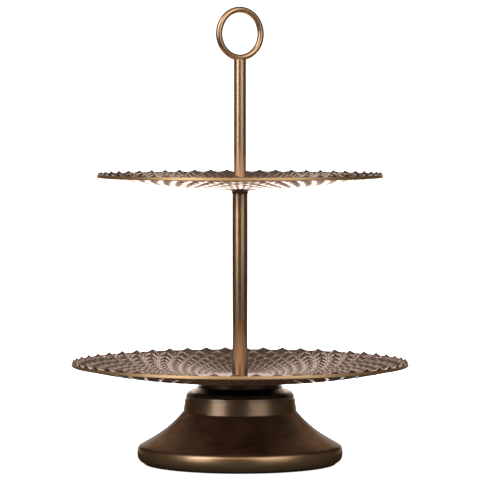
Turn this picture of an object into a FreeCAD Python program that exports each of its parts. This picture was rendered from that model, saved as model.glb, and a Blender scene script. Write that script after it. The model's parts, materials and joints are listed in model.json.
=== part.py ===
import FreeCAD, Part
import math
import os

from FreeCAD import Vector

# A two-tier cake stand: a hollow spun base, two pressed plates, a column that screws down on
# the base and a ring handle that screws into the column. Everything stands round the Z axis,
# with Z = 0 on the table. All sizes are in millimetres.

# --- driving dimensions -------------------------------------------------------------------

# base: felt ring, hem, foot band, hollow flare and collar, from the table up
PAD_THICKNESS = 1.0
PAD_WIDTH = 9.5
PAD_INSET = 0.9             # the pad's edge, inside the start of the hem's rounding
FOOT_RADIUS = 93.3          # at the corner that the hem rounds off
HEM_ROUNDING = 5.5          # where the foot band turns under
HEM_FLANGE = 12.0           # flat flange turned in under the foot
BAND_HEIGHT = 14.3
BAND_LEAN = 1.0
ROLL_ROUNDING = 4.0         # rounded edge between the foot band and the flare
FLARE_HEIGHT = 33.3
FLARE_HOLLOW = 100.0        # radius of the hollow in the flare
FLARE_TURN_WIDTH = 28.3     # from the foot band to the middle of that hollow
FLARE_TURN_HEIGHT = 16.9
COLLAR_HEIGHT = 10.7
COLLAR_RADIUS = 49.5
COLLAR_FOOT_WIDTH = 1.8     # small hollow foot of the collar
COLLAR_FOOT_HEIGHT = 3.6
COLLAR_FOOT_HOLLOW = 12.0
BASE_WALL = 1.2

# base cap: shoulder, neck and flat top, closed from below by a stiffening disc
SHOULDER_INSET = 0.4        # step between the collar and the cap
SHOULDER_FOOT = 0.8         # upright edge that stands on the collar
SHOULDER_HEIGHT = 5.7
SHOULDER_LEAN = 1.8
SHOULDER_ROUNDING = 5.0
DISH_HEIGHT = 4.1           # from the shoulder's corner up to the neck
DISH_ROUNDING = 2.6
NECK_RADIUS = 38.1
NECK_HEIGHT = 5.9
NECK_ROUNDING = 1.6
SPIGOT_DEPTH = 7.0          # the cap's lip inside the collar
SPIGOT_OVERLAP = 1.5        # how far that lip runs up behind the shoulder
DISC_RADIUS = 32.0
DISC_THICKNESS = 2.0

# screws
BOLT_RADIUS = 4.0           # M8 bolt under the column
BOLT_ENGAGED = 12.5         # ten turns of its 1.25 mm pitch
BOLT_HEAD_RADIUS = 9.0
BOLT_HEAD_HEIGHT = 4.4
RETAINER_RADIUS = 8.0
RETAINER_THICKNESS = 0.6
STUD_RADIUS = 3.0           # M6 stud under the handle
STUD_ENGAGED = 10.0         # ten turns of its 1 mm pitch
STUD_SEATED = 14.0          # how deep the stud sits in the rod

# plates
PLATE_WALL = 1.2
RIM_ROUNDING = 2.4
RIM_BAND = 2.7              # upright band at the foot of the rim
RIM_LIP = 1.9               # lip above that band
RIM_LEAN = 1.0              # how far the lip leans in
LOWER_PLATE_RADIUS = 152.5
LOWER_HUB_RADIUS = 42.0
LOWER_PLATE_RISE = 13.5
UPPER_PLATE_RADIUS = 129.1
UPPER_HUB_RADIUS = 28.0
UPPER_PLATE_RISE = 10.2
DISH_SHARE = 0.88           # how much of the run from hub to rim is curved

# gaskets under the plates and washers on them
LOWER_GASKET_THICKNESS = 0.8
LOWER_GASKET_INSET = 1.2    # inside the neck's edge
UPPER_GASKET_THICKNESS = 0.5
UPPER_GASKET_INSET = 1.2    # inside the tier seat's edge
COLUMN_WASHER_RADIUS = 13.0
COLUMN_WASHER_THICKNESS = 1.5
HANDLE_WASHER_RADIUS = 9.0
HANDLE_WASHER_THICKNESS = 1.2

# column and handle
COLUMN_RADIUS = 7.0
COLUMN_WALL = 1.5
COLUMN_LENGTH = 169.8
LOWER_INSERT_LENGTH = 24.0
UPPER_INSERT_LENGTH = 18.0
SEAT_RADIUS = 16.7
SEAT_EDGE = 0.6             # thickness of the tier seat at its edge
SEAT_HEIGHT = 4.5
SEAT_HOLLOW = 3.4           # radius of the hollow under the tier seat
SEAT_LIP = 0.25             # thickness of its lower edge round the column
ROD_RADIUS = 5.5
ROD_LENGTH = 113.4
RING_RADIUS = 21.5          # to the middle of the ring's wire
RING_WIRE_RADIUS = 3.0
RING_SADDLE = 1.4           # how deep the ring sits in the end of the rod

# clearances
RUNNING = 0.05              # radial, a screw in its thread
FREE = 0.35                 # radial, a screw through a washer that rises on it
HOLE = 0.5                  # radial, a screw through sheet metal
SPIGOT_FIT = 0.05           # radial, the cap in the collar
SQUARE_FIT = 0.1            # each side of the bolt's square neck
RETAINER_GAP = 1.5          # radial, round the bolt's retainer, inside the gasket

# --- heights that follow from the sizes above ---------------------------------------------

HEM_Z = PAD_THICKNESS
FLARE_Z = HEM_Z + BAND_HEIGHT
COLLAR_Z = FLARE_Z + FLARE_HEIGHT
CAP_Z = COLLAR_Z + COLLAR_HEIGHT
SHOULDER_Z = CAP_Z + SHOULDER_HEIGHT
NECK_Z = SHOULDER_Z + DISH_HEIGHT
CAP_TOP_Z = NECK_Z + NECK_HEIGHT
DISC_Z = CAP_TOP_Z - BASE_WALL - DISC_THICKNESS
LOWER_PLATE_Z = CAP_TOP_Z + LOWER_GASKET_THICKNESS
COLUMN_WASHER_Z = LOWER_PLATE_Z + PLATE_WALL
COLUMN_Z = COLUMN_WASHER_Z + COLUMN_WASHER_THICKNESS
COLUMN_TOP_Z = COLUMN_Z + COLUMN_LENGTH
UPPER_PLATE_Z = COLUMN_TOP_Z + UPPER_GASKET_THICKNESS
HANDLE_WASHER_Z = UPPER_PLATE_Z + PLATE_WALL
ROD_Z = HANDLE_WASHER_Z + HANDLE_WASHER_THICKNESS
ROD_TOP_Z = ROD_Z + ROD_LENGTH
RING_Z = ROD_TOP_Z - RING_SADDLE + RING_WIRE_RADIUS + RING_RADIUS


# --- helpers ------------------------------------------------------------------------------

def at(radius, z):
    """A point of a profile, in the XZ half plane."""
    return Vector(radius, 0, z)


def outline(*corners):
    """Edges of straight runs through corners of (radius, z) or (radius, z, rounding)."""
    edges = []
    start = at(*corners[0][:2])
    for before, corner, after in zip(corners, corners[1:], corners[2:]):
        turn = at(*corner[:2])
        rounding = corner[2] if len(corner) > 2 else 0
        leave = turn
        if rounding:
            back = (at(*before[:2]) - turn).normalize()
            ahead = (at(*after[:2]) - turn).normalize()
            half_angle = back.getAngle(ahead) / 2
            reach = rounding / math.tan(half_angle)
            bow = rounding / math.sin(half_angle) - rounding
            middle = turn + (back + ahead).normalize() * bow
            turn = turn + back * reach
            leave = leave + ahead * reach
            edges.append(Part.LineSegment(start, turn).toShape())
            edges.append(Part.Arc(turn, middle, leave).toShape())
        else:
            edges.append(Part.LineSegment(start, turn).toShape())
        start = leave
    edges.append(Part.LineSegment(start, at(*corners[-1][:2])).toShape())
    return edges


def turned(face):
    """The solid that a flat profile makes when it is turned about the Z axis."""
    return face.revolve(Vector(0, 0, 0), Vector(0, 0, 1), 360)


def sheet(edges, wall, side):
    """The solid of a turned sheet: edges are its outline, and its wall lies towards side."""
    wire = Part.Wire(edges)
    ways = [
        wire.makeOffset2D(way * wall, join=2, fill=True, openResult=True)
        for way in (1, -1)
    ]
    return turned(max(ways, key=lambda face: face.CenterOfMass.dot(side)))


def disc(radius, low, high):
    return Part.makeCylinder(radius, high - low, Vector(0, 0, low))


def washer(bore, radius, low, high):
    return disc(radius, low, high).cut(disc(bore, low - 1, high + 1))


def square_bar(half, low, high):
    return Part.makeBox(2 * half, 2 * half, high - low, Vector(-half, -half, low))


# --- base ---------------------------------------------------------------------------------

def base_pad_ring():
    """Felt ring glued under the hem. It stands on the table."""
    outer = FOOT_RADIUS - HEM_ROUNDING - PAD_INSET
    return washer(outer - PAD_WIDTH, outer, 0, PAD_THICKNESS)


def base_skirt():
    """Spun shell: flange, hem, foot band, hollow flare and collar."""
    foot_top = FOOT_RADIUS - BAND_LEAN
    edges = outline(
        (FOOT_RADIUS - HEM_ROUNDING - HEM_FLANGE, HEM_Z),
        (FOOT_RADIUS, HEM_Z, HEM_ROUNDING),
        (foot_top, FLARE_Z, ROLL_ROUNDING),
        (foot_top - FLARE_TURN_WIDTH, FLARE_Z + FLARE_TURN_HEIGHT, FLARE_HOLLOW),
        (COLLAR_RADIUS + COLLAR_FOOT_WIDTH, COLLAR_Z),
        (COLLAR_RADIUS, COLLAR_Z + COLLAR_FOOT_HEIGHT, COLLAR_FOOT_HOLLOW),
        (COLLAR_RADIUS, CAP_Z),
    )
    return sheet(edges, BASE_WALL, Vector(-1, 0, 0))


def base_cap():
    """Spun cap on the collar: spigot, rounded shoulder, dished top, neck and flat seat."""
    cap_radius = COLLAR_RADIUS - SHOULDER_INSET
    edges = outline(
        (cap_radius, CAP_Z),
        (cap_radius, CAP_Z + SHOULDER_FOOT),
        (cap_radius - SHOULDER_LEAN, SHOULDER_Z, SHOULDER_ROUNDING),
        (NECK_RADIUS, NECK_Z, DISH_ROUNDING),
        (NECK_RADIUS, CAP_TOP_Z, NECK_ROUNDING),
        (BOLT_RADIUS + HOLE, CAP_TOP_Z),
    )
    shell = sheet(edges, BASE_WALL, Vector(-1, 0, -1))
    spigot_radius = COLLAR_RADIUS - BASE_WALL - SPIGOT_FIT
    spigot = washer(
        spigot_radius - BASE_WALL, spigot_radius, CAP_Z - SPIGOT_DEPTH, CAP_Z + SPIGOT_OVERLAP
    )
    return shell.fuse(spigot).removeSplitter()


def base_reinforcing_disc():
    """Stiffening disc under the cap's top, with a square hole for the bolt's neck."""
    blank = disc(DISC_RADIUS, DISC_Z, DISC_Z + DISC_THICKNESS)
    return blank.cut(square_bar(BOLT_RADIUS + SQUARE_FIT, DISC_Z - 1, CAP_TOP_Z))


def base_bolt():
    """Carriage bolt, head down, whose square neck sits in the stiffening disc."""
    ball_radius = (BOLT_HEAD_RADIUS**2 + BOLT_HEAD_HEIGHT**2) / (2 * BOLT_HEAD_HEIGHT)
    ball = Part.makeSphere(ball_radius, Vector(0, 0, DISC_Z - BOLT_HEAD_HEIGHT + ball_radius))
    head = ball.common(disc(ball_radius, DISC_Z - BOLT_HEAD_HEIGHT, DISC_Z))
    neck = square_bar(BOLT_RADIUS, DISC_Z, DISC_Z + DISC_THICKNESS)
    shank = disc(BOLT_RADIUS, DISC_Z, COLUMN_Z + BOLT_ENGAGED)
    return head.fuse([neck, shank]).removeSplitter()


def base_bolt_retainer():
    """Push-on washer that keeps the bolt in the base when the column is off."""
    return washer(BOLT_RADIUS, RETAINER_RADIUS, CAP_TOP_Z, CAP_TOP_Z + RETAINER_THICKNESS)


# --- plates, gaskets and washers ----------------------------------------------------------

def tier_plate(radius, hub_radius, low, rise, bore):
    """Pressed plate: flat hub, shallow dish and turned-up rim. Low is its underside."""
    turn = (hub_radius + radius) / 2
    tilt = math.atan2(rise, radius - turn)
    hollow = DISH_SHARE * (radius - turn) / math.tan(tilt / 2)
    edges = outline(
        (bore, low),
        (turn, low, hollow),
        (radius, low + rise, RIM_ROUNDING),
        (radius, low + rise + RIM_BAND),
        (radius - RIM_LEAN, low + rise + RIM_BAND + RIM_LIP),
    )
    return sheet(edges, PLATE_WALL, Vector(0, 0, 1))


def lower_gasket():
    """Rubber ring between the base's neck and the lower plate."""
    bore = RETAINER_RADIUS + RETAINER_GAP
    return washer(bore, NECK_RADIUS - LOWER_GASKET_INSET, CAP_TOP_Z, LOWER_PLATE_Z)


def lower_plate():
    return tier_plate(
        LOWER_PLATE_RADIUS, LOWER_HUB_RADIUS, LOWER_PLATE_Z, LOWER_PLATE_RISE,
        BOLT_RADIUS + HOLE,
    )


def column_washer():
    """Washer under the column. It stays on the column when that is unscrewed."""
    return washer(BOLT_RADIUS + FREE, COLUMN_WASHER_RADIUS, COLUMN_WASHER_Z, COLUMN_Z)


def upper_gasket():
    """Fibre ring between the tier seat and the upper plate."""
    return washer(COLUMN_RADIUS, SEAT_RADIUS - UPPER_GASKET_INSET, COLUMN_TOP_Z, UPPER_PLATE_Z)


def upper_plate():
    return tier_plate(
        UPPER_PLATE_RADIUS, UPPER_HUB_RADIUS, UPPER_PLATE_Z, UPPER_PLATE_RISE,
        STUD_RADIUS + HOLE,
    )


def handle_washer():
    """Washer under the handle. It stays on the handle when that is unscrewed."""
    return washer(STUD_RADIUS + FREE, HANDLE_WASHER_RADIUS, HANDLE_WASHER_Z, ROD_Z)


# --- column -------------------------------------------------------------------------------

def column_tube():
    return washer(COLUMN_RADIUS - COLUMN_WALL, COLUMN_RADIUS, COLUMN_Z, COLUMN_TOP_Z)


def column_lower_insert():
    """Threaded bush in the foot of the column, for the base's bolt."""
    return washer(
        BOLT_RADIUS + RUNNING, COLUMN_RADIUS - COLUMN_WALL,
        COLUMN_Z, COLUMN_Z + LOWER_INSERT_LENGTH,
    )


def column_upper_insert():
    """Threaded bush in the top of the column, for the handle's stud."""
    return washer(
        STUD_RADIUS + RUNNING, COLUMN_RADIUS - COLUMN_WALL,
        COLUMN_TOP_Z - UPPER_INSERT_LENGTH, COLUMN_TOP_Z,
    )


def tier_seat():
    """Turned collar round the column's top: a thin flange that runs hollow into the column."""
    corners = outline(
        (COLUMN_RADIUS, COLUMN_TOP_Z),
        (SEAT_RADIUS, COLUMN_TOP_Z),
        (SEAT_RADIUS, COLUMN_TOP_Z - SEAT_EDGE),
        (COLUMN_RADIUS + SEAT_LIP, COLUMN_TOP_Z - SEAT_EDGE, SEAT_HOLLOW),
        (COLUMN_RADIUS + SEAT_LIP, COLUMN_TOP_Z - SEAT_HEIGHT),
        (COLUMN_RADIUS, COLUMN_TOP_Z - SEAT_HEIGHT),
        (COLUMN_RADIUS, COLUMN_TOP_Z),
    )
    return turned(Part.Face(Part.Wire(corners)))


# --- handle -------------------------------------------------------------------------------

def handle_ring():
    """Round wire ring, upright in the XZ plane, brazed on the end of the rod."""
    return Part.makeTorus(RING_RADIUS, RING_WIRE_RADIUS, Vector(0, 0, RING_Z), Vector(0, 1, 0))


def handle_rod():
    """Solid rod, saddled for the ring on top and bored for the stud below."""
    bar = disc(ROD_RADIUS, ROD_Z, ROD_TOP_Z)
    bore = disc(STUD_RADIUS, ROD_Z - 1, ROD_Z + STUD_SEATED)
    return bar.cut([bore, handle_ring()])


def handle_stud():
    return disc(STUD_RADIUS, COLUMN_TOP_Z - STUD_ENGAGED, ROD_Z + STUD_SEATED)


# --- write one file per piece -------------------------------------------------------------

PIECES = [
    base_pad_ring,
    base_skirt,
    base_cap,
    base_reinforcing_disc,
    base_bolt,
    base_bolt_retainer,
    lower_gasket,
    lower_plate,
    column_washer,
    column_tube,
    column_lower_insert,
    column_upper_insert,
    tier_seat,
    upper_gasket,
    upper_plate,
    handle_washer,
    handle_rod,
    handle_stud,
    handle_ring,
]


def main():
    os.makedirs("parts", exist_ok=True)
    for piece in PIECES:
        shape = piece()
        if not shape.isValid() or len(shape.Solids) != 1:
            raise ValueError(f"{piece.__name__} is not one valid solid")
        shape.Solids[0].exportStep(f"parts/{piece.__name__}.step")
        box = shape.optimalBoundingBox()
        print(f"{piece.__name__}: {shape.Volume / 1000:.2f} cm3, z {box.ZMin:.2f} to {box.ZMax:.2f}")


main()
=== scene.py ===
# %% [markdown]
# # A two-tier cake stand
# The stand is a hollow spun base, two pressed plates with a raised lattice, a tube that screws
# down on the base, and a rod with a ring that screws into the tube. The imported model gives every
# piece its place and its size. This lesson builds the looks on that frame, one piece at a time,
# so each shape is measured from the frame and only its small detail is decided here.

# %% Load the frame
import json
import math

import bpy
import numpy as np
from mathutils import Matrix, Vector

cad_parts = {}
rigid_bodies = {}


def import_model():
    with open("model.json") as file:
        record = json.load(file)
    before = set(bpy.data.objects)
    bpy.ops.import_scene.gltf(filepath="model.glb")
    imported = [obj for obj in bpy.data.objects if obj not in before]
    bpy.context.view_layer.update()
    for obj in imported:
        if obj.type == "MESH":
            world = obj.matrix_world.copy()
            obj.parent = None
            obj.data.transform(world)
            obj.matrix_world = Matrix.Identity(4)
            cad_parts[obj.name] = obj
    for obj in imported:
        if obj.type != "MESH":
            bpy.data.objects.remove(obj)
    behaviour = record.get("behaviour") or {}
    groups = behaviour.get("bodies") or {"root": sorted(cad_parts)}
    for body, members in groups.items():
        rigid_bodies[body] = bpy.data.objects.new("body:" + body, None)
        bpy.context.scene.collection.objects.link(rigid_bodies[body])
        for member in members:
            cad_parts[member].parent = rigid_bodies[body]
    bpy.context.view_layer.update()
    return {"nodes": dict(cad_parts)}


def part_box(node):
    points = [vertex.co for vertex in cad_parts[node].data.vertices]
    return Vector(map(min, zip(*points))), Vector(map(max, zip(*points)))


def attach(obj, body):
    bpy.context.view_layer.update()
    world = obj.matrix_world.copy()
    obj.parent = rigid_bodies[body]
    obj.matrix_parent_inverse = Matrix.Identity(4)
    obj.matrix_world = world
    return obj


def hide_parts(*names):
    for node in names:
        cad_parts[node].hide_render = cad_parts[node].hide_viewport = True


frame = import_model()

MM = 0.001

# %% [markdown]
# ## Camera
# A product picture is taken from far away with a long lens, so upright lines stay parallel and
# round plates look like thin ellipses. The camera could be tilted by hand until the picture looks
# right. Here it is placed from three plain facts: how far it stands from the axis of the stand,
# how high it stands, and the point on the axis that it looks at.

# %% Place the camera
CAMERA_TURN = math.radians(-29.7)      # round the stand, from the side that faces -Y
CAMERA_DISTANCE = 2.903
CAMERA_HEIGHT = 0.3276
LOOK_AT = Vector((0, 0, 0.2019))

to_camera = Vector((math.sin(CAMERA_TURN), -math.cos(CAMERA_TURN), 0))
camera_data = bpy.data.cameras.new("camera")
camera_data.lens = 241.5
camera_data.sensor_width = 36
camera_data.clip_end = 60
camera = bpy.data.objects.new("camera", camera_data)
camera.location = to_camera * CAMERA_DISTANCE + Vector((0, 0, CAMERA_HEIGHT))
camera.rotation_euler = (LOOK_AT - camera.location).to_track_quat("-Z", "Y").to_euler()
bpy.context.scene.collection.objects.link(camera)
bpy.context.scene.camera = camera
bpy.context.scene.view_settings.view_transform = "Standard"
print("camera at", [round(v, 3) for v in camera.location])

# %% [markdown]
# ## Helpers for shaping by hand
# Every piece below starts as a Blender primitive and is shaped in edit mode. An operator acts on
# whatever is selected, and the loaded frame is selected when the script starts, so each step
# first drops the selection and then makes its own piece the active one.

# %% Selecting and entering edit mode
def only(piece):
    """Makes this piece the only one that operators act on."""
    for other in bpy.context.view_layer.objects:
        other.select_set(False)
    piece.select_set(True)
    bpy.context.view_layer.objects.active = piece
    return piece


def edit(piece):
    only(piece)
    bpy.ops.object.mode_set(mode="EDIT")
    bpy.ops.mesh.select_mode(type="VERT")


def leave_edit():
    bpy.ops.object.mode_set(mode="OBJECT")


def settle(piece):
    """Puts the place of a finished piece into its mesh, with the object at the origin."""
    only(piece)
    bpy.ops.object.transform_apply(location=True, rotation=True, scale=True)
    return piece


def points_of(piece):
    flat = np.zeros(len(piece.data.vertices) * 3)
    piece.data.vertices.foreach_get("co", flat)
    return flat.reshape(-1, 3)


def move_points(piece, points):
    piece.data.vertices.foreach_set("co", np.asarray(points, float).ravel())
    piece.data.update()


for other in bpy.context.view_layer.objects:
    other.select_set(False)
print("helpers ready")

# %% [markdown]
# ## Turned and spun pieces
# Spun sheet metal and turned rods are round about one axis. A lathe does the same thing in
# Blender: a half profile is drawn and spun a full turn. The profile is given as corners, and a
# corner may have a rounding, as a drawing for the workshop would have.

# %% A profile with rounded corners, and the lathe
def rounded(*corners, step=math.radians(9)):
    """Points of straight runs through corners of (radius, height) or (radius, height, rounding)."""
    run = [Vector(corners[0][:2])]
    for before, corner, after in zip(corners, corners[1:], corners[2:]):
        turn = Vector(corner[:2])
        if len(corner) < 3:
            run.append(turn)
            continue
        back = (Vector(before[:2]) - turn).normalized()
        ahead = (Vector(after[:2]) - turn).normalized()
        half = back.angle(ahead) / 2
        middle = turn + (back + ahead).normalized() * corner[2] / math.sin(half)
        start = turn + back * corner[2] / math.tan(half) - middle
        end = turn + ahead * corner[2] / math.tan(half) - middle
        sweep = start.angle_signed(end)
        pieces = max(2, math.ceil(abs(sweep) / step))
        for i in range(pieces + 1):
            angle = -sweep * i / pieces
            run.append(middle + Vector((
                start.x * math.cos(angle) - start.y * math.sin(angle),
                start.x * math.sin(angle) + start.y * math.cos(angle))))
    run.append(Vector(corners[-1][:2]))
    return run


def lathe(name, profile, steps=144, closed=False):
    """Spins a profile of (radius, height) in metres about the Z axis."""
    profile = [Vector(p[:2]) for p in profile]
    profile = [p for i, p in enumerate(profile) if i == 0 or (p - profile[i - 1]).length > 1e-6]
    if closed and (profile[0] - profile[-1]).length > 1e-6:
        profile.append(profile[0])
    bpy.ops.mesh.primitive_plane_add(size=0.001, location=(profile[0].x, 0, profile[0].y))
    piece = bpy.context.object
    piece.name = piece.data.name = name
    edit(piece)
    bpy.ops.mesh.select_all(action="SELECT")
    bpy.ops.mesh.merge(type="CENTER")
    for start, end in zip(profile, profile[1:]):
        bpy.ops.mesh.extrude_region_move(
            TRANSFORM_OT_translate={"value": (end.x - start.x, 0, end.y - start.y)})
    bpy.ops.mesh.select_all(action="SELECT")
    bpy.ops.mesh.spin(steps=steps, angle=2 * math.pi, center=(0, 0, 0), axis=(0, 0, 1))
    bpy.ops.mesh.select_all(action="SELECT")
    bpy.ops.mesh.remove_doubles(threshold=1e-6)
    bpy.ops.mesh.normals_make_consistent(inside=False)
    leave_edit()
    settle(piece)
    return piece


def smooth(piece, angle=32):
    only(piece)
    bpy.ops.object.shade_smooth_by_angle(angle=math.radians(angle))
    return piece


def apply(piece, kind, **settings):
    """Adds a modifier with these settings and applies it."""
    only(piece)
    bpy.ops.object.modifier_add(type=kind)
    modifier = piece.modifiers[-1]
    for key, value in settings.items():
        setattr(modifier, key, value)
    bpy.ops.object.modifier_apply(modifier=modifier.name)
    return piece


print("lathe ready")

# %% [markdown]
# ## Base shell
# The base is one disc of sheet metal spun over a former: a hem turned under at the foot, an
# upright band, a hollow flare and a collar. The hem and the shoulder of the band are rounded
# generously, because a wide rounding catches a soft line of light where a sharp one would glint.
# A spun shell has one even wall, so its outside is turned on the lathe first, and the wall is
# given to it afterwards, on the inside, by the Solidify modifier.

# %% Spin the base shell
foot_low, foot_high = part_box("base_skirt")
HEM_Z, COLLAR_TOP_Z = foot_low.z, foot_high.z
FOOT_R = 93.3 * MM
BAND_TOP_Z = HEM_Z + 14.3 * MM         # where the foot band meets the flare
COLLAR_Z = BAND_TOP_Z + 33.3 * MM
COLLAR_R = 49.5 * MM
WALL = 1.2 * MM

skirt = lathe("base_shell", rounded(
    (FOOT_R - 17.5 * MM, HEM_Z),
    (FOOT_R - 1.3 * MM, HEM_Z, 7.0 * MM),
    (FOOT_R - 0.5 * MM, HEM_Z + 8.8 * MM, 18 * MM),
    (FOOT_R - 1.1 * MM, BAND_TOP_Z + 0.4 * MM, 6.0 * MM),
    (FOOT_R - 29.3 * MM, BAND_TOP_Z + 16.9 * MM, 100 * MM),
    (COLLAR_R + 1.9 * MM, COLLAR_Z - 1.5 * MM),
    (COLLAR_R + 0.1 * MM, COLLAR_TOP_Z - 0.2 * MM),
    (COLLAR_R - 0.1 * MM, COLLAR_TOP_Z),
    step=math.radians(4)), steps=192)
apply(skirt, "SOLIDIFY", thickness=WALL, offset=-1, use_even_offset=True)
smooth(skirt, 24)
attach(skirt, "base")
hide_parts("base_skirt")
print("base shell:", len(skirt.data.polygons), "faces")
print("its foot radius in mm:", round(foot_high.x * 1000, 1))

# %% [markdown]
# ## Base cap
# A second spinning closes the collar: a spigot that slips inside it, a rounded shoulder, a dished
# top and a neck that the lower plate stands on. Its spigot doubles the wall, so the profile is
# drawn closed, outside and inside, and no wall is added afterwards.

# %% Spin the cap
cap_low, cap_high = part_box("base_cap")
CAP_Z, CAP_TOP_Z = COLLAR_TOP_Z, cap_high.z
CAP_R = COLLAR_R - 0.1 * MM
NECK_R = 38.1 * MM
SHOULDER_Z = CAP_Z + 5.7 * MM
NECK_Z = SHOULDER_Z + 4.1 * MM
SPIGOT_R = COLLAR_R - WALL - 0.05 * MM

outside = rounded(
    (SPIGOT_R, cap_low.z), (SPIGOT_R, CAP_Z), (CAP_R, CAP_Z),
    (CAP_R - 0.35 * MM, CAP_Z + 2.2 * MM, 1.5 * MM),
    (CAP_R - 2.1 * MM, SHOULDER_Z, 4.0 * MM), (NECK_R, NECK_Z, 2.6 * MM),
    (NECK_R, CAP_TOP_Z, 1.6 * MM), (4.5 * MM, CAP_TOP_Z), step=math.radians(5))
inside = rounded(
    (4.5 * MM, CAP_TOP_Z - WALL), (NECK_R - WALL, CAP_TOP_Z - WALL, 0.6 * MM),
    (NECK_R - WALL, NECK_Z - WALL, 3.0 * MM), (SPIGOT_R - WALL, SHOULDER_Z - 1.5 * MM, 3.0 * MM),
    (SPIGOT_R - WALL, cap_low.z), step=math.radians(9))
cap = lathe("base_cap_spun", outside + inside, steps=160, closed=True)
smooth(cap)
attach(cap, "base")
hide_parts("base_cap")
print("cap:", len(cap.data.polygons), "faces")

# %% [markdown]
# ## Felt ring
# A ring of felt under the hem keeps the stand from scratching the table. Felt is soft, so its
# edges are round and its top has sunk a little into the glue. It is turned like the metal, with
# rounded corners.

# %% Turn the felt ring
pad_low, pad_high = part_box("base_pad_ring")
PAD_R, PAD_WIDTH = pad_high.x, 9.5 * MM
felt_ring = lathe("felt_ring", rounded(
    (PAD_R - 5 * MM, pad_high.z), (PAD_R, pad_high.z, 0.3 * MM), (PAD_R, pad_low.z, 0.35 * MM),
    (PAD_R - PAD_WIDTH, pad_low.z, 0.35 * MM), (PAD_R - PAD_WIDTH, pad_high.z, 0.3 * MM),
    (PAD_R - 5 * MM, pad_high.z), step=math.radians(30)), steps=128, closed=True)
smooth(felt_ring, 60)
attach(felt_ring, "base")
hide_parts("base_pad_ring")
print("felt ring:", len(felt_ring.data.polygons), "faces")

# %% [markdown]
# ## Pressed lattice
# The plates are pressed between two dies whose bumps stand where two families of spirals cross,
# like the seeds of a sunflower: every ring of bumps is a little smaller than the ring outside it,
# and shifted by half a bump. Modelling a thousand bumps is hopeless, but along such a spiral every
# bump is a smaller copy of the last. So one flat strip of square cells is made from a grid, and
# cut along the cells' diagonals at both ends. Wound into a spiral arm, those two cuts become the
# circles of the rim and of the hub.

# %% One flat arm of the lattice
ARMS = 52                     # bumps in each ring
RING_RATIO = 0.922            # size of a ring to that of the ring outside it
# Lines of points across one cell, as shares of its width. They stand closer near its edges.
FINE_CELL = [0, 0.07, 0.12, 0.22, 0.36, 0.5, 0.64, 0.78, 0.88, 0.93, 1]
SMALL_CELL = [0, 0.07, 0.12, 0.31, 0.5, 0.69, 0.88, 0.93, 1]      # where the cells are smaller
COARSE_CELL = [0, 0.12, 0.5, 0.88, 1]                             # on the underside


def cell_lines(value, lines):
    """Moves evenly spaced lines of points to their places in each cell."""
    whole = np.floor(value + 1e-6)
    return whole + np.interp(value - whole, np.linspace(0, 1, len(lines)), lines)


def flat_arm(name, first, last, lines):
    """A strip of cells one unit wide, from ring first to ring last of the lattice."""
    long, steps = math.ceil(last) + 1, len(lines) - 1
    bpy.ops.mesh.primitive_grid_add(
        x_subdivisions=steps, y_subdivisions=steps * long, size=1, location=(0, 0, 0))
    arm = bpy.context.object
    arm.name = arm.data.name = name
    edit(arm)
    bpy.ops.mesh.select_all(action="SELECT")
    bpy.ops.transform.resize(value=(1, long, 1))
    bpy.ops.transform.translate(value=(0, 0.5 - long / 2, 0))
    leave_edit()
    points = points_of(arm)
    points[:, :2] = cell_lines(points[:, :2] + 0.5, lines) - 0.5
    move_points(arm, points)
    edit(arm)
    for way, diagonals in ((-1, range(0, long)), (1, range(0, long + 1))):
        for diagonal in diagonals:
            bpy.ops.mesh.select_all(action="SELECT")
            bpy.ops.mesh.bisect(plane_co=(0, -diagonal, 0), plane_no=(1, way, 0), threshold=1e-5)
    for ring, side in ((first, "clear_inner"), (last, "clear_outer")):
        bpy.ops.mesh.select_all(action="SELECT")
        bpy.ops.mesh.bisect(
            plane_co=(0, -ring, 0), plane_no=(1, -1, 0), threshold=1e-5, **{side: True})
    leave_edit()
    return arm


print("lattice:", ARMS, "arms, ring ratio", RING_RATIO)

# %% [markdown]
# ## Winding an arm and repeating it
# No tool winds a strip into a spiral, so this one step moves the points by a formula: a step along
# the strip turns a point round the axis and shrinks its distance from it, and its height comes from
# the dish of the plate and from the bump it lies on. A bump is a pyramid with blunted edges: a
# power between a square and a circle rounds it, so light rolls over it. The rest is ordinary
# modelling: an Array modifier that is turned by an empty repeats the arm, and merging its doubles
# makes one sheet. The height of the bumps is kept as an attribute, and so is where they are
# lighter: rubbed wear on the peaks, and a painted highlight on the peaks and along the fine edges,
# standing in for the glint of rounded ridges. The finish follows both later.

# %% Wind an arm into a sheet
PEAK_FOOT = 0.82              # where the peak ends, in halves of a cell
SQUARENESS = 6                # 2 would make a round peak, and a large number a square one
EDGE_HEIGHT = 0.12            # height of the fine edges of a cell, beside the peak's 1
EDGE_PLACES = [0.76, 0.86, 1.0]        # where a fine edge starts, is highest and ends
HUB_FADE = 2.5                # rings over which the bumps die out towards the hub


def bump(across, along):
    """Height of the pressed shape, from 0 in the field to 1 at the peak, and where it is lighter:
    rubbed wear, and a painted highlight on the peak and along the fine edges.
    """
    u, v = abs(2 * (across - np.round(across))), abs(2 * (along - np.round(along)))
    outer = np.maximum(u, v)
    soft = (u ** SQUARENESS + v ** SQUARENESS) ** (1 / SQUARENESS)
    peak = 1 - np.minimum(soft / PEAK_FOOT, 1) ** 1.2
    edge = np.interp(outer, EDGE_PLACES, [0, 1, -1.2])
    # Lighter on the peak and along the fine edges: rubbed wear, and a painted highlight in place of
    # the glint of rounded ridges.
    wear_and_highlight = np.maximum(np.clip(1.3 * peak - 0.3, 0, 1), np.interp(outer, EDGE_PLACES, [0, 1, -0.2]))
    return peak + EDGE_HEIGHT * edge, wear_and_highlight


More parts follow.
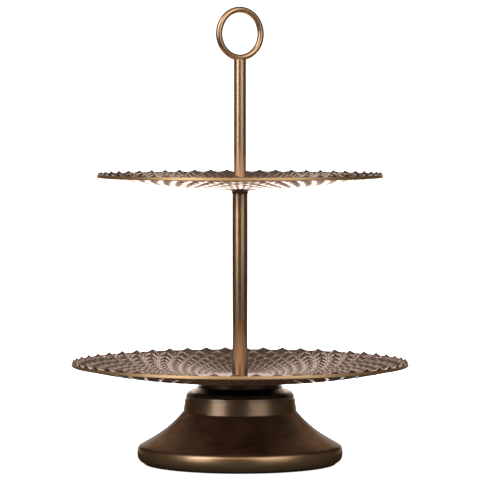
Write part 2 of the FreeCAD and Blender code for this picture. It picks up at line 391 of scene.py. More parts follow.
def wound_sheet(name, first, last, lines, crest_radius, rim_height, dish, relief, turn):
    """A round sheet of lattice. dish gives its height at a radius, without the bumps."""
    arm = flat_arm(name, first, last, lines)
    flat = points_of(arm)
    ring = flat[:, 0] - flat[:, 1]
    radius = crest_radius * RING_RATIO ** ring
    angle = math.pi * (flat[:, 0] + flat[:, 1]) / ARMS + turn
    fade = np.clip((last - ring) / HUB_FADE, 0, 1)
    fade = fade * fade * (3 - 2 * fade)
    shape, wear_and_highlight = bump(flat[:, 0], flat[:, 1])
    height = dish(radius) + relief * radius / crest_radius * shape * fade
    at_rim = ring < 0.01
    height = np.where(at_rim, np.maximum(height, rim_height), height)
    move_points(arm, np.stack([radius * np.cos(angle), radius * np.sin(angle), height], 1))
    for key, value in (("relief", shape * fade), ("wear_and_highlight", wear_and_highlight * fade)):
        attribute = arm.data.attributes.new(key, "FLOAT", "POINT")
        attribute.data.foreach_set("value", value.astype(np.float32))

    pivot = bpy.data.objects.new(name + "_step", None)
    pivot.rotation_euler.z = 2 * math.pi / ARMS
    bpy.context.scene.collection.objects.link(pivot)
    bpy.context.view_layer.update()
    apply(arm, "ARRAY", count=ARMS, use_relative_offset=False, use_object_offset=True,
          offset_object=pivot)
    bpy.data.objects.remove(pivot)
    edit(arm)
    bpy.ops.mesh.select_all(action="SELECT")
    bpy.ops.mesh.remove_doubles(threshold=3e-5)
    bpy.ops.mesh.normals_make_consistent(inside=False)
    leave_edit()
    return arm


diagonal_heights = [float(bump(np.array(t), np.array(t))[0]) for t in (0, 0.2, 0.36, 0.43, 0.5)]
print("bump heights along a cell's diagonal:", [round(h, 2) for h in diagonal_heights])

# %% [markdown]
# ## From two sheets to a plate
# The underside of a pressed plate follows its top one wall lower, but softer, because metal
# stretches over a die and doesn't fill its corners. So the same lattice is wound again with less
# relief and fewer points. It starts a little inside the rim, where the rim turns under. The rim
# and the hub are made by extruding the edges of the top sheet ring by ring, each ring scaled flat
# to its radius and height, and the last ring is bridged to the sheet below.

# %% Close the rim and the hub
def select_ring(piece, low_radius, high_radius, low_z=-1e9, high_z=1e9):
    """Selects the open edges of a piece whose ends lie between two radii and two heights."""
    edit(piece)
    bpy.ops.mesh.select_mode(type="EDGE")
    bpy.ops.mesh.select_all(action="DESELECT")
    bpy.ops.mesh.select_non_manifold(
        extend=False, use_wire=False, use_boundary=True, use_multi_face=False,
        use_non_contiguous=False, use_verts=False)
    leave_edit()
    points = points_of(piece)
    radius = np.hypot(points[:, 0], points[:, 1])
    inside = (radius > low_radius) & (radius < high_radius)
    inside &= (points[:, 2] > low_z) & (points[:, 2] < high_z)
    for e in piece.data.edges:
        if e.select and not (inside[e.vertices[0]] and inside[e.vertices[1]]):
            e.select = False
    kept = {v for e in piece.data.edges if e.select for v in e.vertices}
    for v in piece.data.vertices:
        v.select = v.index in kept
    return len(kept)


def extrude_rings(piece, radius, rings):
    """Extrudes the selected ring of edges through (radius, height) after (radius, height)."""
    edit(piece)
    bpy.ops.mesh.select_mode(type="EDGE")
    for next_radius, height in rings:
        bpy.ops.mesh.extrude_region_move()
        scale = next_radius / radius
        bpy.ops.transform.resize(value=(scale, scale, 0), center_override=(0, 0, height))
        radius = next_radius
    leave_edit()


UNDER_SHARE = 0.80            # relief that comes through on the underside
RIM_HEIGHT = 4.6 * MM         # from the foot of the rim to the top of the plate
# The rim's outline from its inner edge, over its top and round to its underside: millimetres in
# from the widest radius, and up from the foot of the rim.
RIM = [(0.85, 2.2), (0.65, 2.1), (0.35, 1.1), (0.08, 0.1), (0.0, -0.3), (0.12, -0.65),
       (0.55, -0.9), (1.3, -0.9), (2.5, -0.4)]


def pressed_plate(name, node, hub_radius, bore, rings, lines, relief, turn):
    """A whole plate: lattice above and below, closed by the rim and by the bore in its hub."""
    low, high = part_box(node)
    widest = high.x
    band_z = high.z - RIM_HEIGHT
    crest = widest - 1.5 * MM
    under_edge = widest - 3.0 * MM

    def under_dish(radius):
        """Height of the underside: flat at the hub, and steeper and steeper towards the rim."""
        outward = np.clip((radius - hub_radius) / (widest - hub_radius), 0, 1)
        return low.z + (band_z - low.z) * outward ** 2

    plate = wound_sheet(name, 0, rings, lines, crest, band_z + 2.2 * MM,
                        lambda r: under_dish(r) + WALL, relief, turn)
    start = math.log(under_edge / crest) / math.log(RING_RATIO)
    below = wound_sheet(name + "_under", start, rings, COARSE_CELL, crest, 0,
                        under_dish, UNDER_SHARE * relief, turn)
    height = np.zeros(len(below.data.vertices), np.float32)
    below.data.attributes["relief"].data.foreach_get("value", height)
    # On the underside this attribute is high on the flat field and lower in the hollows behind the
    # bumps, so the field comes out lighter and the hollows darker.
    below.data.attributes["wear_and_highlight"].data.foreach_set("value", 1 - 0.6 * np.clip(height, 0, 1))
    edit(below)
    bpy.ops.mesh.select_all(action="SELECT")
    bpy.ops.mesh.flip_normals()
    leave_edit()
    only(plate)
    below.select_set(True)
    bpy.ops.object.join()

    count = select_ring(plate, crest - 0.02 * MM, crest + 0.02 * MM)
    extrude_rings(plate, crest, [(widest - a * MM, band_z + b * MM) for a, b in RIM])
    select_ring(plate, under_edge - 0.05 * MM, widest - 2.3 * MM)
    edit(plate)
    bpy.ops.mesh.select_mode(type="EDGE")
    bpy.ops.mesh.bridge_edge_loops()
    leave_edit()

    inner = crest * RING_RATIO ** rings
    middle = under_dish(inner) + WALL / 2
    for level, heights in ((low.z + WALL, (middle, 1)), (low.z, (-1, middle))):
        select_ring(plate, inner - 0.02 * MM, inner + 0.02 * MM, *heights)
        steps = [hub_radius, hub_radius * 0.97, hub_radius * 0.6, bore * 2.2, bore]
        extrude_rings(plate, inner, [(r, level) for r in steps])
    select_ring(plate, bore - 0.02 * MM, bore + 0.02 * MM)
    edit(plate)
    bpy.ops.mesh.select_mode(type="EDGE")
    bpy.ops.mesh.bridge_edge_loops()
    bpy.ops.mesh.select_all(action="SELECT")
    bpy.ops.mesh.normals_make_consistent(inside=False)
    leave_edit()

    points = points_of(plate)
    radius = np.hypot(points[:, 0], points[:, 1])
    plate.data.attributes.new("band", "FLOAT", "POINT")
    for key, at_rim, at_hub in (("relief", 0.8, 0.2), ("wear_and_highlight", 1.0, 0.0), ("band", 1.0, 0.0)):
        values = np.zeros(len(points), np.float32)
        plate.data.attributes[key].data.foreach_get("value", values)
        # band -1 marks the crest inside the rim, which the finish paints dark as painted shade.
        values[radius > crest - 0.1 * MM] = -1.0 if key == "band" else 0.0
        values[radius > widest - 0.7 * MM] = at_rim
        values[radius < inner - 0.05 * MM] = at_hub
        plate.data.attributes[key].data.foreach_set("value", values)
    smooth(plate, 24)
    print(name + ":", len(plate.data.polygons), "faces,", count, "points round the crest")
    return plate


lower_plate = pressed_plate(
    "lower_plate_pressed", "lower_plate", hub_radius=42 * MM, bore=4.5 * MM, rings=14,
    lines=FINE_CELL, relief=3.5 * MM, turn=CAMERA_TURN + math.radians(5.35))
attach(lower_plate, "base")
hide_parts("lower_plate")

# %% [markdown]
# ## Upper plate
# The upper plate is a smaller pressing of the same pattern. Its lattice has as many bumps in each
# ring, so every bump is smaller, and it runs further in because its hub is smaller.

# %% Press the upper plate
upper_plate = pressed_plate(
    "upper_plate_pressed", "upper_plate", hub_radius=28 * MM, bore=3.5 * MM, rings=16,
    lines=SMALL_CELL, relief=3.2 * MM, turn=CAMERA_TURN + math.radians(5.55))
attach(upper_plate, "column")
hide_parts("upper_plate")

# %% [markdown]
# ## Column and tier seat
# The column is a drawn tube with its ends turned square and the sharp edges broken. The tier seat
# is a thin collar that runs hollow into the tube, and the upper plate rests on it. Both are
# profiles for the lathe: closed ones, because each has a bore.

# %% Turn the tube and the seat
tube_low, tube_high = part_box("column_tube")
TUBE_R, BORE_R = tube_high.x, tube_high.x - 1.5 * MM
tube = lathe("column_tube_drawn", rounded(
    (TUBE_R - 0.8 * MM, tube_low.z), (TUBE_R, tube_low.z, 0.35 * MM),
    (TUBE_R, tube_high.z, 0.25 * MM),
    (BORE_R, tube_high.z, 0.2 * MM), (BORE_R, tube_low.z, 0.2 * MM),
    (TUBE_R - 0.8 * MM, tube_low.z), step=math.radians(30)), steps=64, closed=True)
smooth(tube, 40)
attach(tube, "column")
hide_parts("column_tube")

seat_low, seat_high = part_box("tier_seat")
SEAT_R = seat_high.x
seat = lathe("tier_seat_turned", rounded(
    (TUBE_R, seat_high.z), (SEAT_R, seat_high.z, 0.1 * MM),
    (SEAT_R, seat_high.z - 0.9 * MM, 0.1 * MM),
    (TUBE_R + 0.3 * MM, seat_high.z - 0.95 * MM, 3.4 * MM), (TUBE_R + 0.25 * MM, seat_low.z),
    (TUBE_R, seat_low.z), (TUBE_R, seat_high.z), step=math.radians(8)), steps=96, closed=True)
smooth(seat, 40)
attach(seat, "column")
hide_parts("tier_seat")
print("tube:", len(tube.data.polygons), "faces; seat:", len(seat.data.polygons), "faces")

# %% [markdown]
# ## Handle rod and ring
# The handle is a rod with a wire ring brazed on its end. Brazing leaves a small hollow fillet
# where the metal flowed, so the rod's profile doesn't end flat: it runs up in a hollow curve until
# it is lost inside the wire. The ring itself is what a ring bender makes: one round wire taken
# round a full turn, so a circle is spun about the ring's own axis.

# %% Turn the rod and bend the ring
rod_low, rod_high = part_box("handle_rod")
ring_low, ring_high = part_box("handle_ring")
ROD_R = rod_high.x
WIRE_R = (ring_high.y - ring_low.y) / 2
RING_R = (ring_high.x - ring_low.x) / 2 - WIRE_R
RING_Z = (ring_low.z + ring_high.z) / 2
top = rod_high.z
rod = lathe("handle_rod_turned", [(0, rod_low.z)] + list(rounded(
    (1 * MM, rod_low.z), (ROD_R, rod_low.z, 0.3 * MM), (ROD_R, top - 0.1 * MM, 0.5 * MM),
    (3.5 * MM, top + 0.5 * MM, 2.2 * MM), (2.5 * MM, top + 2.6 * MM),
    step=math.radians(10))) + [(0, top + 2.9 * MM)], steps=64)
smooth(rod, 40)
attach(rod, "handle")
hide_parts("handle_rod")

bpy.ops.mesh.primitive_circle_add(vertices=32, radius=WIRE_R, location=(RING_R, 0, RING_Z))
ring = bpy.context.object
ring.name = ring.data.name = "handle_ring_bent"
edit(ring)
bpy.ops.mesh.select_all(action="SELECT")
bpy.ops.mesh.spin(steps=144, angle=2 * math.pi, center=(0, 0, RING_Z), axis=(0, 1, 0))
bpy.ops.mesh.select_all(action="SELECT")
bpy.ops.mesh.remove_doubles(threshold=1e-6)
bpy.ops.mesh.normals_make_consistent(inside=False)
leave_edit()
settle(ring)
smooth(ring, 60)
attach(ring, "handle")
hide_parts("handle_ring")
print("rod:", len(rod.data.polygons), "faces; ring:", len(ring.data.polygons), "faces")

# %% [markdown]
# ## Washers and gaskets
# Rings that lie between the larger pieces differ only in size, edge and finish. One helper reads
# a ring's place from the frame, and each ring gets the bore and the edge rounding of its kind:
# a stamped steel washer has a small one, a rubber gasket a larger one.

# %% Make the flat rings
def flat_ring(name, node, body, bore, edge):
    """A washer or gasket with this bore, its edges rounded by this much."""
    low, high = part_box(node)
    middle = (bore + high.x) / 2
    piece = lathe(name, rounded(
        (middle, high.z), (high.x, high.z, edge), (high.x, low.z, edge), (bore, low.z, edge),
        (bore, high.z, edge), (middle, high.z), step=math.radians(22)), steps=96, closed=True)
    smooth(piece, 50)
    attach(piece, body)
    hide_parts(node)
    print(name + ":", len(piece.data.polygons), "faces")
    return piece


column_washer = flat_ring("column_washer_stamped", "column_washer", "column_carrier",
                          bore=4.35 * MM, edge=0.25 * MM)
handle_washer = flat_ring("handle_washer_stamped", "handle_washer", "handle_carrier",
                          bore=3.35 * MM, edge=0.2 * MM)
lower_gasket = flat_ring("lower_gasket_moulded", "lower_gasket", "base",
                         bore=9.5 * MM, edge=0.3 * MM)
upper_gasket = flat_ring("upper_gasket_cut", "upper_gasket", "column",
                         bore=7.0 * MM, edge=0.12 * MM)

# %% [markdown]
# ## Screws
# The bolt and the stud are hidden while the stand is together, and show when it is taken apart.
# A thread is a small tooth carried round and up at once, which is what the Screw modifier does.
# Its two ends are cut off flat and closed with bisect, and the bolt's head is turned separately.

# %% Cut the threads
TOOTH_DEPTH = 0.6             # of a thread, as a share of its pitch
STUD_PITCH, BOLT_PITCH = 1.0 * MM, 1.25 * MM


def thread(name, radius, pitch, low, high):
    """A threaded rod between two heights, with flat ends."""
    depth = TOOTH_DEPTH * pitch
    root = radius - depth
    bpy.ops.mesh.primitive_plane_add(size=0.001, location=(root, 0, low - pitch))
    piece = bpy.context.object
    piece.name = piece.data.name = name
    edit(piece)
    bpy.ops.mesh.select_all(action="SELECT")
    bpy.ops.mesh.merge(type="CENTER")
    for out, rise in ((depth, 0.42), (0, 0.12), (-depth, 0.42), (0, 0.04)):
        bpy.ops.mesh.extrude_region_move(TRANSFORM_OT_translate={"value": (out, 0, rise * pitch)})
    leave_edit()
    settle(piece)
    apply(piece, "SCREW", angle=2 * math.pi, screw_offset=pitch, steps=32, render_steps=32,
          iterations=math.ceil((high - low) / pitch) + 2,
          use_merge_vertices=True, merge_threshold=1e-6)
    edit(piece)
    for height, side in ((low, -1), (high, 1)):
        bpy.ops.mesh.select_all(action="SELECT")
        bpy.ops.mesh.bisect(plane_co=(0, 0, height), plane_no=(0, 0, side), use_fill=True,
                            clear_outer=True, threshold=1e-7)
    bpy.ops.mesh.select_all(action="SELECT")
    bpy.ops.mesh.remove_doubles(threshold=1e-6)
    bpy.ops.mesh.normals_make_consistent(inside=False)
    leave_edit()
    smooth(piece, 35)
    return piece


stud_low, stud_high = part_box("handle_stud")
stud = thread("handle_stud_threaded", stud_high.x, STUD_PITCH, stud_low.z, stud_high.z)
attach(stud, "handle")
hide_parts("handle_stud")

bolt_low, bolt_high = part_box("base_bolt")
BOLT_R, HEAD_R, HEAD_H = 4 * MM, bolt_high.x, 4.4 * MM
HEAD_TOP_Z = bolt_low.z + HEAD_H
DOME_STEPS = 12
ball = (HEAD_R ** 2 + HEAD_H ** 2) / (2 * HEAD_H)         # radius of the ball the dome is cut from
sweep = math.asin(HEAD_R / ball)
dome = []
for i in range(DOME_STEPS + 1):
    angle = sweep * i / DOME_STEPS
    dome.append((ball * math.sin(angle), bolt_low.z + ball * (1 - math.cos(angle))))
bolt = lathe("base_bolt_head", dome + [(HEAD_R - 0.3 * MM, HEAD_TOP_Z), (0, HEAD_TOP_Z)], steps=48)
bpy.ops.mesh.primitive_cube_add(size=2 * BOLT_R, location=(0, 0, HEAD_TOP_Z + 1 * MM))
neck = bpy.context.object
edit(neck)
bpy.ops.mesh.select_all(action="SELECT")
bpy.ops.transform.resize(value=(1, 1, 0.25))
bpy.ops.mesh.bevel(offset=0.3 * MM, segments=2, affect="EDGES")
leave_edit()
settle(neck)
shank = thread("base_bolt_shank", BOLT_R, BOLT_PITCH, HEAD_TOP_Z + 1.2 * MM, bolt_high.z)
only(bolt)
neck.select_set(True)
shank.select_set(True)
bpy.ops.object.join()
bolt.name = bolt.data.name = "base_bolt_threaded"
smooth(bolt, 35)
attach(bolt, "base")
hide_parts("base_bolt")
print("stud:", len(stud.data.polygons), "faces; bolt:", len(bolt.data.polygons), "faces")

# %% [markdown]
# ## Building a finish from nodes
# A finish is a small tree of nodes: coordinates, then noise, then a ramp that turns the noise into
# colour, roughness or a bump. The helpers below each add one node and return its output, so a
# finish reads as a short recipe. Every finish uses Object coordinates, which stay fixed to the
# metal when a piece moves; the height of a point is one of them. Values that are the same all
# over are typed into the shader itself.

# %% Node helpers
def add_node(tree, kind, inputs=None, output=0, **settings):
    """Adds a node and gives back its output. An input is a plain value or another node's output."""
    made = tree.nodes.new("ShaderNode" + kind)
    for key, value in settings.items():
        setattr(made, key, value)
    for key, value in (inputs or {}).items():
        if isinstance(value, bpy.types.NodeSocket):
            tree.links.new(value, made.inputs[key])
        else:
            made.inputs[key].default_value = value
    return made.outputs[output]


class Finish:
    """A node material with one Principled shader, and short calls that add nodes to it."""

    def __init__(self, name, **sockets):
        self.material = bpy.data.materials.new(name)
        self.material.use_nodes = True
        self.tree = self.material.node_tree
        self.tree.nodes.clear()
        self.shader = self.tree.nodes.new("ShaderNodeBsdfPrincipled")
        output = self.tree.nodes.new("ShaderNodeOutputMaterial")
        self.tree.links.new(self.shader.outputs[0], output.inputs[0])
        for socket, value in sockets.items():
            self.shader.inputs[socket.replace("_", " ")].default_value = value
        self.place = self.tree.nodes.new("ShaderNodeTexCoord").outputs["Object"]

    def node(self, kind, inputs=None, output=0, **settings):
        return add_node(self.tree, kind, inputs, output, **settings)

    def math(self, operation, a, b=0.0):
        return self.node("Math", {0: a, 1: b}, operation=operation)

    def vector(self, operation, a, b=(0, 0, 0), output=0):
        return self.node("VectorMath", {0: a, 1: b}, output, operation=operation)

    def noise(self, scale, detail=3.0, roughness=0.55, at=None):
        return self.node("TexNoise", {
            "Vector": at or self.place, "Scale": scale, "Detail": detail, "Roughness": roughness})

    def height(self):
        return self.vector("DOT_PRODUCT", self.place, (0, 0, 1), output="Value")

    def spread(self, value, low, high, to_low=0.0, to_high=1.0):
        return self.node("MapRange", {
            "Value": value, "From Min": low, "From Max": high, "To Min": to_low, "To Max": to_high})

    def blend(self, amount, a, b, way="MIX"):
        mix = self.tree.nodes.new("ShaderNodeMix")
        mix.data_type, mix.blend_type = "RGBA", way
        for socket, value in ((mix.inputs[0], amount), (mix.inputs[6], a), (mix.inputs[7], b)):
            if isinstance(value, bpy.types.NodeSocket):
                self.tree.links.new(value, socket)
            else:
                socket.default_value = (*value, 1) if isinstance(value, tuple) else value
        return mix.outputs[2]

    def bump(self, height, distance, strength=1.0, under=None):
        inputs = {"Height": height, "Distance": distance, "Strength": strength}
        if under is not None:
            inputs["Normal"] = under
        return self.node("Bump", inputs)

    def round_grain(self, across, along):
        """Noise drawn out round the Z axis: lines that a tool leaves on a turning piece."""
        flat = self.vector("MULTIPLY", self.place, (1, 1, 0))
        distance = self.vector("LENGTH", flat, output="Value")
        around = self.vector("SCALE", self.vector("NORMALIZE", flat))
        around.node.inputs["Scale"].default_value = along
        slant = self.math("MULTIPLY", self.math("SUBTRACT", self.height(), distance), across)
        lifted = self.node("CombineXYZ", {"Z": slant})
        return self.vector("ADD", around, lifted)

    def use(self, **sockets):
        for socket, value in sockets.items():
            self.tree.links.new(value, self.shader.inputs[socket.replace("_", " ")])
        return self.material


def paint(material, *pieces):
    for piece in pieces:
        piece.data.materials.clear()
        piece.data.materials.append(material)


print("finish helpers ready")

# %% [markdown]
# ## Bronze on the base
# Spun steel that is plated and toned looks brown where the toning lies thick and warmer where a
# cloth has rubbed it back. Fine lines run round it, left by the spinning tool. It is made with a
# metallic shader: wide noise and the drawn-out noise together move the colour between two browns,
# and the lines also change how sharply the metal reflects and stand up a little. A thin lacquer
# is a coat. The edge tint is the colour that the metal takes at grazing angles. It could stay
# white, but then the turned edges of a dark piece shine paler than its middle, so it is set low.
#
# Two more steps follow the height of a point. The first makes everything below a height lighter,
# which gives the gold foot band and the lighter foot of the cap. The second is painted shade: it
# darkens the colour from one height down to another and keeps it dark below, quickly under the
# collar, where it darkens the flare, and slowly on the column, where it darkens the lower part.

# %% Bronze finishes for the spun and turned pieces
def toned_bronze(name, light, dark, roughness, lines, coat_roughness, ripple=0.006 * MM, coat=1.0,
                 edge=(0.60, 0.52, 0.46), lighter_below=None, painted_shade=None):
    """lighter_below is (height, fade, colour) and lightens everything below; painted_shade is (top,
    bottom, tone at the bottom) and darkens the colour downwards as painted shade.
    """
    finish = Finish(name, Metallic=1.0, Coat_Weight=coat, Coat_Roughness=coat_roughness,
                    Specular_Tint=(*edge, 1))
    clouds = finish.noise(26, 4, 0.6)
    grain = finish.noise(1.0, 3, 0.6, at=finish.round_grain(lines, 5.0))
    tone = finish.math("ADD", finish.math("MULTIPLY", clouds, 0.5),
                       finish.math("MULTIPLY", grain, 0.5))
    colour = finish.blend(finish.spread(tone, 0.38, 0.62), dark, light)
    if lighter_below:
        height, fade, bright = lighter_below
        below = finish.spread(finish.height(), height + fade, height - fade)
        colour = finish.blend(below, colour, bright)
    # Painted shade: the colour darkens from one height down to another and stays dark below it.
    if painted_shade:
        shade_from, shade_to, shade = painted_shade
        shade_share = finish.spread(finish.height(), shade_from, shade_to)
        colour = finish.blend(shade_share, colour, shade, "MULTIPLY")
    rough = finish.spread(grain, 0.3, 0.7, roughness - 0.06, roughness + 0.06)
    if ripple:
        finish.use(Normal=finish.bump(grain, ripple, 0.6))
    return finish.use(Base_Color=colour, Roughness=rough)


GOLD = (0.70, 0.49, 0.29)
# Between these heights the column is painted darker towards its bottom: painted shade, where the
# lower plate darkens it.
COLUMN_SHADE_TOP, COLUMN_SHADE_BOTTOM = 0.290, 0.120

# Below the collar the shell's flare is painted darker: painted shade.
spun_bronze = toned_bronze(
    "spun_bronze", light=(0.43, 0.30, 0.20), dark=(0.27, 0.18, 0.12), roughness=0.33, lines=900,
    coat_roughness=0.22, coat=0.10, edge=(0.35, 0.30, 0.28),
    lighter_below=(BAND_TOP_Z - 1.0 * MM, 1.2 * MM, GOLD),
    painted_shade=(COLLAR_Z, COLLAR_Z - 1.5 * MM, (0.84, 0.81, 0.80)))
# The cap is painted much darker than the shell: partly a darker tone, partly painted shade under
# the lower plate. Below its foot it keeps a lighter tone, so the collar's highlight runs on over
# it.
dark_bronze = toned_bronze(
    "dark_bronze", light=(0.12, 0.075, 0.05), dark=(0.05, 0.032, 0.022), roughness=0.36, lines=700,
    coat_roughness=0.22, lighter_below=(CAP_Z + 2.3 * MM, 0.3 * MM, (0.30, 0.20, 0.13)))
# The column's lower part is painted darker: painted shade.
rod_bronze = toned_bronze(
    "rod_bronze", light=(0.70, 0.455, 0.27), dark=(0.64, 0.415, 0.245), roughness=0.34, lines=120,
    coat_roughness=0.22, ripple=0, edge=(1.0, 0.9, 0.8),
    painted_shade=(COLUMN_SHADE_TOP, COLUMN_SHADE_BOTTOM, (0.60, 0.57, 0.53)))
# The tier seat is painted much darker than the column's bronze: painted shade under the upper
# plate.
seat_bronze = toned_bronze(
    "seat_bronze", light=(0.17, 0.145, 0.11), dark=(0.13, 0.11, 0.085), roughness=0.42, lines=120,
    coat_roughness=0.30, ripple=0, coat=0.1)
paint(spun_bronze, skirt)
paint(dark_bronze, cap)
paint(rod_bronze, tube, rod, ring)
paint(seat_bronze, seat)
print("bronzes:", [m.name for m in (spun_bronze, dark_bronze, rod_bronze, seat_bronze)])

# %% [markdown]
# ## Bronze on the plates
# After pressing, the plates are toned all over and then rubbed, which brings back bright metal on
# everything that stands up: the peaks, the fine ridges and the rim. On the peaks and the fine
# ridges the lighter colour is also a painted highlight, standing in for the glint that rounded
# ridges would catch. The mesh carries three attributes that the recipe reads. Relief is the height
# of the bumps, wear_and_highlight is where a cloth touches them and where the painted highlight
# lies, and band is 1 on the gold rim and -1 on the crest inside it, which is painted dark: painted
# shade. An attribute fits better here than noise would, because the colour has to follow the shape
# exactly.

# %% Bronze for the pressed plates
def rubbed_bronze(name):
    finish = Finish(name, Metallic=1.0, Coat_Weight=0.15, Coat_Roughness=0.2,
                    Specular_Tint=(1.0, 0.86, 0.80, 1))
    wear_and_highlight, high, band = (finish.node("Attribute", output="Fac", attribute_name=key)
                        for key in ("wear_and_highlight", "relief", "band"))
    clouds = finish.noise(38, 4, 0.6)
    specks = finish.noise(1100, 2, 0.5)
    # Lighter where the bumps are worn and where the painted highlight lies on the peaks and fine
    # edges.
    wear_and_highlight_share = finish.math("MAXIMUM", wear_and_highlight, finish.math("MULTIPLY", high, 0.5))
    wear_and_highlight_amount = finish.math("MULTIPLY", wear_and_highlight_share, finish.spread(clouds, 0.25, 0.6, 0.75, 1.0))
    colour = finish.blend(wear_and_highlight_amount, (0.53, 0.435, 0.395), (1.0, 0.88, 0.80))
    # The crest inside the gold rim is painted dark: painted shade.
    colour = finish.blend(finish.spread(band, 0, -1), colour, (0.17, 0.10, 0.07))
    colour = finish.blend(finish.spread(band, 0, 1), colour, (0.60, 0.415, 0.23))
    rough = finish.math("ADD", finish.spread(wear_and_highlight_amount, 0, 1, 0.38, 0.26),
                        finish.spread(specks, 0.3, 0.7, -0.03, 0.03))
    rough = finish.math("ADD", rough, finish.spread(band, 0, 1, 0, 0.22))
    tooth = finish.bump(specks, 0.003 * MM, 0.5)
    return finish.use(Base_Color=colour, Roughness=rough, Normal=tooth)


pressed_bronze = rubbed_bronze("pressed_bronze")
paint(pressed_bronze, lower_plate, upper_plate)
print("plates painted")

# %% [markdown]
# ## Steel, felt, rubber and fibre
# The hidden parts have their own finishes, because they show when the stand is taken apart or
# turned over. Four of them are plain discs and bushes that the frame already has, so they are
# only painted. Zinc plating is a pale bluish steel with a mottled gloss. Felt is a mat of fibres:
# two layers of noise, one drawn out, and a sheen that catches light at grazing angles. Rubber is
# dark and dull with a fine tooth, and the fibre ring is like brown card.

# %% Finishes of the small parts
def zinc_steel_finish():
    finish = Finish("zinc_steel", Metallic=1.0)
    patches = finish.node("TexVoronoi", {"Vector": finish.place, "Scale": 420.0}, output=1)
    grey = finish.node("SeparateColor", {"Color": patches})
    haze = finish.noise(60, 4, 0.6)
    colour = finish.blend(finish.spread(haze, 0.3, 0.7), (0.50, 0.51, 0.52), (0.66, 0.67, 0.67))
    rough = finish.math("ADD", finish.spread(grey, 0, 1, 0.26, 0.36),
                        finish.spread(haze, 0.3, 0.7, -0.03, 0.05))
    tooth = finish.bump(finish.noise(1500, 2), 0.02 * MM, 0.5)
    return finish.use(Base_Color=colour, Roughness=rough, Normal=tooth)


def felt_finish():
    finish = Finish("felt", Sheen_Weight=0.5, Sheen_Roughness=0.45)
    fibres = finish.noise(900, 5, 0.7)
    wisps = finish.noise(260, 3, 0.6, at=finish.vector("MULTIPLY", finish.place, (1, 2.4, 1)))
    colour = finish.blend(finish.math("MULTIPLY", fibres, 1.1),
                          (0.018, 0.015, 0.013), (0.07, 0.06, 0.052))
    rough = finish.spread(wisps, 0.3, 0.7, 0.9, 1.0)
    nap = finish.bump(fibres, 0.25 * MM, 0.8, under=finish.bump(wisps, 0.3 * MM, 0.6))
    return finish.use(Base_Color=colour, Roughness=rough, Normal=nap)


def rubber_finish():
    finish = Finish("gasket_rubber", Specular_IOR_Level=0.35)
    tooth = finish.noise(1300, 3, 0.6)
    bloom = finish.noise(45, 3, 0.6)
    colour = finish.blend(finish.spread(bloom, 0.35, 0.7),
                          (0.020, 0.020, 0.021), (0.040, 0.039, 0.038))
    rough = finish.spread(bloom, 0.3, 0.7, 0.62, 0.8)
    return finish.use(Base_Color=colour, Roughness=rough, Normal=finish.bump(tooth, 0.05 * MM, 0.7))


def fibre_finish():
    finish = Finish("fibre", Specular_IOR_Level=0.25)
    strands = finish.noise(500, 4, 0.65, at=finish.vector("MULTIPLY", finish.place, (1, 3, 1)))
    colour = finish.blend(finish.spread(strands, 0.3, 0.72),
                          (0.055, 0.030, 0.018), (0.14, 0.085, 0.05))
    rough = finish.spread(strands, 0.3, 0.7, 0.75, 0.92)
    fuzz = finish.bump(strands, 0.08 * MM, 0.7)
    return finish.use(Base_Color=colour, Roughness=rough, Normal=fuzz)


zinc_steel = zinc_steel_finish()
felt, rubber, fibre = felt_finish(), rubber_finish(), fibre_finish()
paint(zinc_steel, column_washer, handle_washer, stud, bolt)
paint(felt, felt_ring)
paint(rubber, lower_gasket)
paint(fibre, upper_gasket)
KEPT_FROM_FRAME = ("base_reinforcing_disc", "base_bolt_retainer",
                   "column_lower_insert", "column_upper_insert")
paint(zinc_steel, *[frame["nodes"][node] for node in KEPT_FROM_FRAME])
print("small parts painted")

# %% [markdown]
# ## Table and studio
# Shiny metal shows its surroundings more than itself, so the studio is part of the finish. To
# the camera the table and the backdrop are plain white. What the metal mirrors is different: the
# table is dark apart from a wedge that widens behind the stand, and the backdrop is a narrow white
# strip. A warm and dim room all round gives the dark middle of every rod, a glow high up in front
# lights the plates, and two tall soft boxes beside the camera draw the two bright lines on each
# rod. The Light Path node tells what the camera sees from what the metal mirrors.

# %% Table, backdrop and soft boxes
TABLE_RADIUS, TABLE_INSET = 16, 14.5             # metres; the inset leaves a small middle
WEDGE_SLOPE = 0.7                                # how far back the lit wedge starts to each side
WEDGE_START, WEDGE_FULL = 0.06, 0.12             # metres behind the axis of the stand
WEDGE_EDGE, WEDGE_CORE = 1.0, 0.4                # half of its width, faded and full
TABLE_DARK, TABLE_LIT = 0.02, 2.4

bpy.ops.mesh.primitive_circle_add(
    vertices=128, radius=TABLE_RADIUS, fill_type="NGON", location=(0, 0, 0))
table = bpy.context.object
table.name = table.data.name = "table"
edit(table)
bpy.ops.mesh.select_all(action="SELECT")
bpy.ops.mesh.inset(thickness=TABLE_INSET)
leave_edit()
table_finish = Finish("table_white", Roughness=0.9, Specular_IOR_Level=0.0)
table_finish.shader.inputs["Emission Color"].default_value = (1, 1, 1, 1)
behind = table_finish.vector("DOT_PRODUCT", table_finish.place, tuple(-to_camera), output="Value")
aside = table_finish.math("ABSOLUTE", table_finish.vector(
    "DOT_PRODUCT", table_finish.place, (to_camera.y, -to_camera.x, 0), output="Value"))
slope = table_finish.math("MULTIPLY", aside, WEDGE_SLOPE)
far = table_finish.spread(table_finish.math("SUBTRACT", behind, slope), WEDGE_START, WEDGE_FULL)
narrow = table_finish.spread(aside, WEDGE_EDGE, WEDGE_CORE)
lit = table_finish.spread(table_finish.math("MULTIPLY", far, narrow), 0, 1, TABLE_DARK, TABLE_LIT)
seen = table_finish.node("LightPath", output="Is Camera Ray")
table_finish.use(
    Emission_Strength=table_finish.math("MAXIMUM", lit, seen),
    Base_Color=table_finish.blend(table_finish.noise(3, 2), (0.06,) * 3, (0.09,) * 3))
paint(table_finish.material, table)

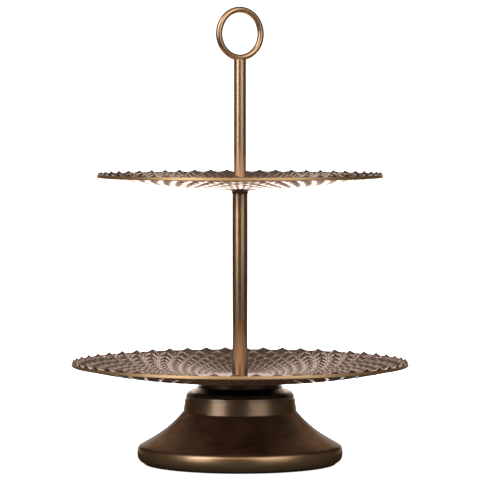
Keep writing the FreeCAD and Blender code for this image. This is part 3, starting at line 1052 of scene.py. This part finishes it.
world = bpy.data.worlds.new("studio")
bpy.context.scene.world = world
world.use_nodes = True
tree = world.node_tree
tree.nodes.clear()


def world_node(kind, inputs=None, output=0, **settings):
    return add_node(tree, kind, inputs, output, **settings)


def world_step(value, start, end):
    """Rises softly from 0 to 1 while the value goes from start to end."""
    return world_node("MapRange", {"Value": value, "From Min": start, "From Max": end},
                      interpolation_type="SMOOTHSTEP")


def world_range(value, low, high=1.0):
    return world_node("MapRange", {"Value": value, "To Min": low, "To Max": high})


def world_math(operation, a, b):
    return world_node("Math", {0: a, 1: b}, operation=operation)


ROOM_LIGHT, CEILING_LIGHT, BACKDROP_LIGHT = 0.09, 1.05, 1.6
ROOM_GREEN, ROOM_BLUE = 0.76, 0.56               # beside a red of 1: the room's warm light
direction = world_node("TexCoord", output="Generated")
level = world_node("VectorMath", {0: direction, 1: (1, 1, 0)}, operation="MULTIPLY")
level = world_node("VectorMath", {0: level}, operation="NORMALIZE")
away = world_node("VectorMath", {0: level, 1: -to_camera}, "Value", operation="DOT_PRODUCT")
up = world_node("VectorMath", {0: direction, 1: (0, 0, 1)}, "Value", operation="DOT_PRODUCT")
backdrop = world_math("MULTIPLY", world_step(away, 0.91, 0.985), world_step(up, 0.60, 0.36))
high_up = world_math("MULTIPLY", world_step(up, 0.38, 0.58), world_step(up, 0.95, 0.85))
ceiling = world_math("MULTIPLY", world_step(away, -0.2, -0.6), high_up)
room = world_range(backdrop, world_range(ceiling, ROOM_LIGHT, CEILING_LIGHT), BACKDROP_LIGHT)
camera_sees = world_node("LightPath", output="Is Camera Ray")
strength = world_math("MAXIMUM", room, camera_sees)
white = world_math("MAXIMUM", backdrop, camera_sees)
warmth = world_node("CombineXYZ", {
    0: 1.0, 1: world_range(white, ROOM_GREEN), 2: world_range(white, ROOM_BLUE)})
background = world_node("Background", {"Color": warmth, "Strength": strength})
output = tree.nodes.new("ShaderNodeOutputWorld")
tree.links.new(background, output.inputs[0])

BOX_DISTANCE, BOX_HEIGHT, BOX_LENGTH = 1.7, 1.1, 2.0
BOX_AIM = Vector((0, 0, 0.35))
for side, angle, width, energy in (("left", 46, 0.9, 16), ("right", -38, 1.3, 9.5)):
    light_data = bpy.data.lights.new("soft_box_" + side, "AREA")
    light_data.shape, light_data.size, light_data.size_y = "RECTANGLE", width, BOX_LENGTH
    light_data.energy = energy
    light = bpy.data.objects.new("soft_box_" + side, light_data)
    turn = CAMERA_TURN - math.radians(angle)
    level_way = Vector((math.sin(turn), -math.cos(turn), 0))
    light.location = level_way * BOX_DISTANCE + Vector((0, 0, BOX_HEIGHT))
    light.rotation_euler = (BOX_AIM - light.location).to_track_quat("-Z", "Y").to_euler()
    light.visible_camera = False
    bpy.context.scene.collection.objects.link(light)
print("studio ready")
